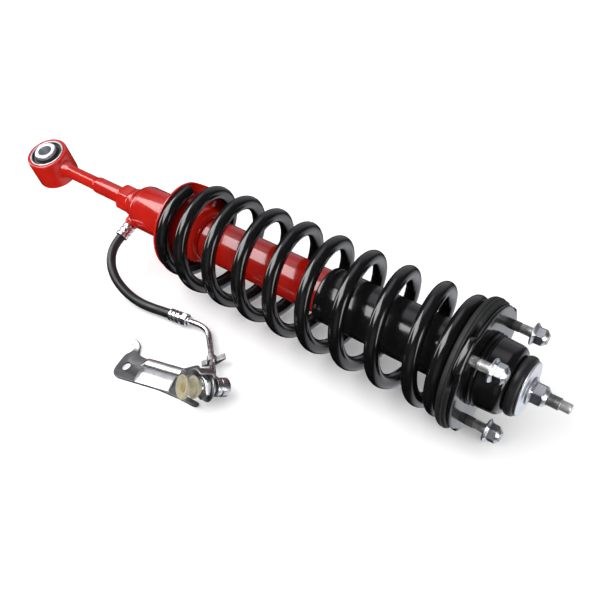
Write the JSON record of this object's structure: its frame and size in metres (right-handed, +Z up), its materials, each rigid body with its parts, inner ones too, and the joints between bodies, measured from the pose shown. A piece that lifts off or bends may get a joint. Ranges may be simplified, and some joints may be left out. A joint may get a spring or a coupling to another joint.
{
  "type": "suspension strut",
  "caption": "Coil-over suspension strut lying on its side, with a bushed lower eye, a studded top mount and a short hydraulic hose that ends in a pipe, a union and a bracket.",
  "frame": {"origin": "on the surface that the strut lies on, under the middle of the strut's own box, without the hose group", "axes": "+X along the damper from the lower eye to the threaded rod end, +Z up"},
  "size_m": [0.716, 0.243, 0.1327],
  "materials": {
    "red_paint": "gloss",
    "black_gloss": "gloss",
    "black_rubber": "matte",
    "matte_rubber": "matte",
    "hose_rubber": "satin",
    "bright_zinc": "satin",
    "chrome": "polished",
    "ground_steel": "polished",
    "sintered_bronze": "matte",
    "bump_foam": "matte",
    "cream_plastic": "satin"
  },
  "bodies": {
    "strut_body": {"eye_barrel": "red_paint", "bush_outer_sleeve": "bright_zinc", "bush_rubber": "black_rubber", "lower_shank": "red_paint", "hex_collar": "red_paint", "lower_end_cap": "red_paint", "lower_body_tube": "red_paint", "main_tube": "red_paint", "lower_spring_seat": "red_paint", "hose_port_boss": "red_paint", "inner_cylinder": "ground_steel", "base_valve": "sintered_bronze", "rod_guide": "sintered_bronze", "oil_seal": "black_rubber", "coil_spring": "black_gloss", "body_hose_ferrule": "chrome", "hydraulic_hose": "hose_rubber", "pipe_hose_ferrule": "chrome", "pipe_collar": "chrome", "hard_pipe": "chrome", "end_fitting_barrel": "chrome", "hex_union": "bright_zinc", "pipe_bracket": "bright_zinc", "pipe_clip": "bright_zinc"},
    "rod_and_mount": {"piston_rod": "ground_steel", "piston": "ground_steel", "piston_band": "sintered_bronze", "piston_nut": "bright_zinc", "bump_stop": "bump_foam", "dust_cover": "black_gloss", "upper_spring_insulator": "matte_rubber", "mount_plate": "black_gloss", "cup_housing": "black_gloss", "lower_mount_bush": "black_rubber", "lower_mount_washer": "bright_zinc", "spacer_sleeve": "bright_zinc", "top_mount_cushion": "black_rubber", "top_washer": "bright_zinc", "rod_lock_nut": "bright_zinc", "mount_stud_1": "bright_zinc", "mount_stud_2": "bright_zinc", "mount_stud_3": "bright_zinc", "flange_nut_1": "bright_zinc", "flange_nut_2": "bright_zinc", "flange_nut_3": "bright_zinc"},
    "bush_sleeve": {"bush_inner_sleeve": "bright_zinc"},
    "cap": {"transit_cap": "cream_plastic"}
  },
  "joints": [
    {"name": "damper_slide", "type": "slide", "parent": "strut_body", "child": "rod_and_mount", "axis": [-1, 0, 0], "range_m": [0, 0.085], "stiffness_N_per_m": 47000, "deforming": ["coil_spring"]},
    {"name": "eye_bush_twist", "type": "hinge", "parent": "strut_body", "child": "bush_sleeve", "pos_m": [-0.332, -0.00105, 0.06712], "axis": [0, -0.309, 0.9511], "range_deg": [-15, 15], "stiffness_Nm_per_rad": 40},
    {"name": "cap_pull", "type": "slide", "parent": "strut_body", "child": "cap", "axis": [-0.4049, -0.8107, 0.4229], "range_m": [0, 0.02]}
  ]
}
